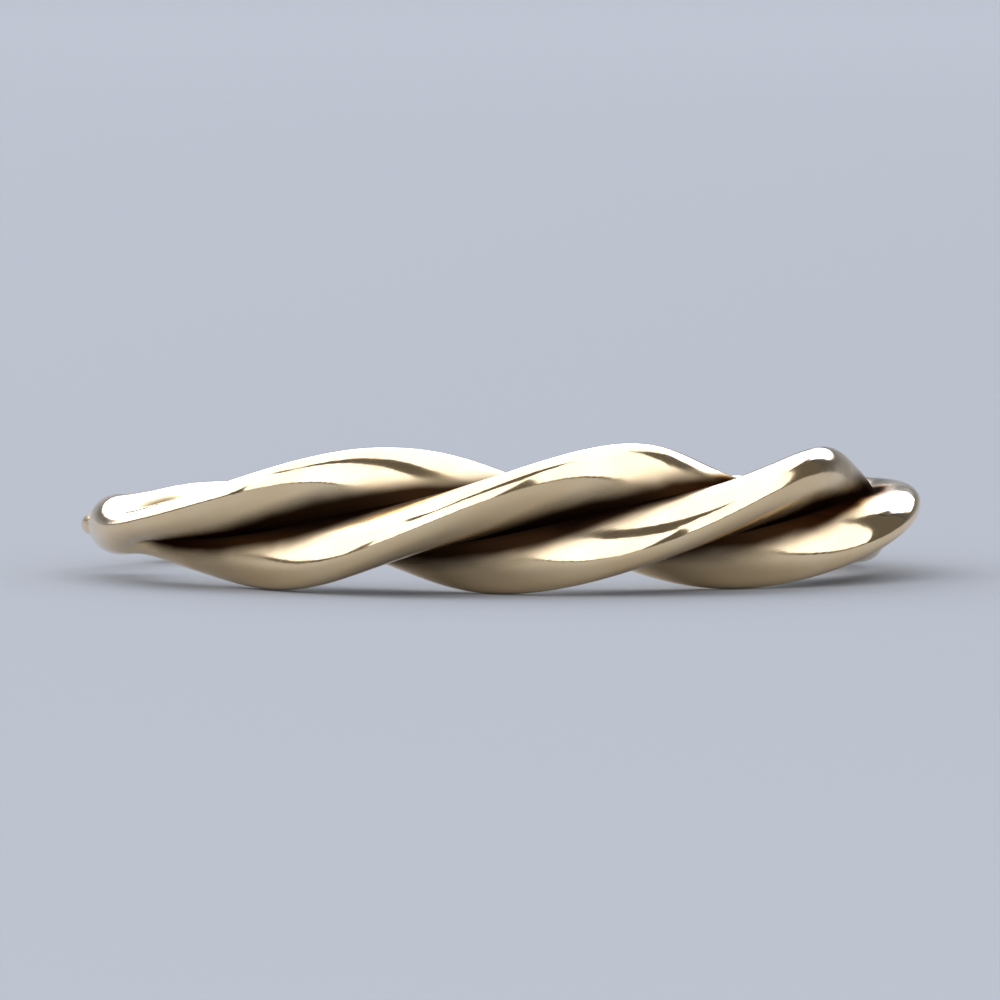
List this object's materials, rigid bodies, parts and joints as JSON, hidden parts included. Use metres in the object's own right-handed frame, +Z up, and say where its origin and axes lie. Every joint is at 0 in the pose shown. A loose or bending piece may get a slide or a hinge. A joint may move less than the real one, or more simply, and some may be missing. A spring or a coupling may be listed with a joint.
{
  "type": "twisted hoop earring",
  "caption": "Round hoop earring of strands twisted together, thick at the front and thin at the rear, closed by an arched ear wire.",
  "frame": {"origin": "on the surface that the hoop lies on, under the middle of its box", "axes": "+Z up from that surface, across the hoop; -Y towards the front of the hoop, the part that shows when worn; -X towards the ear wire"},
  "size_m": [0.0344, 0.034, 0.006],
  "materials": {
    "polished_gold": "polished pale yellow gold plating",
    "drawn_gold_wire": "drawn and polished pale yellow gold wire"
  },
  "bodies": {
    "root": {"twisted_hoop": "polished_gold", "ear_wire": "drawn_gold_wire"}
  },
  "joints": []
}
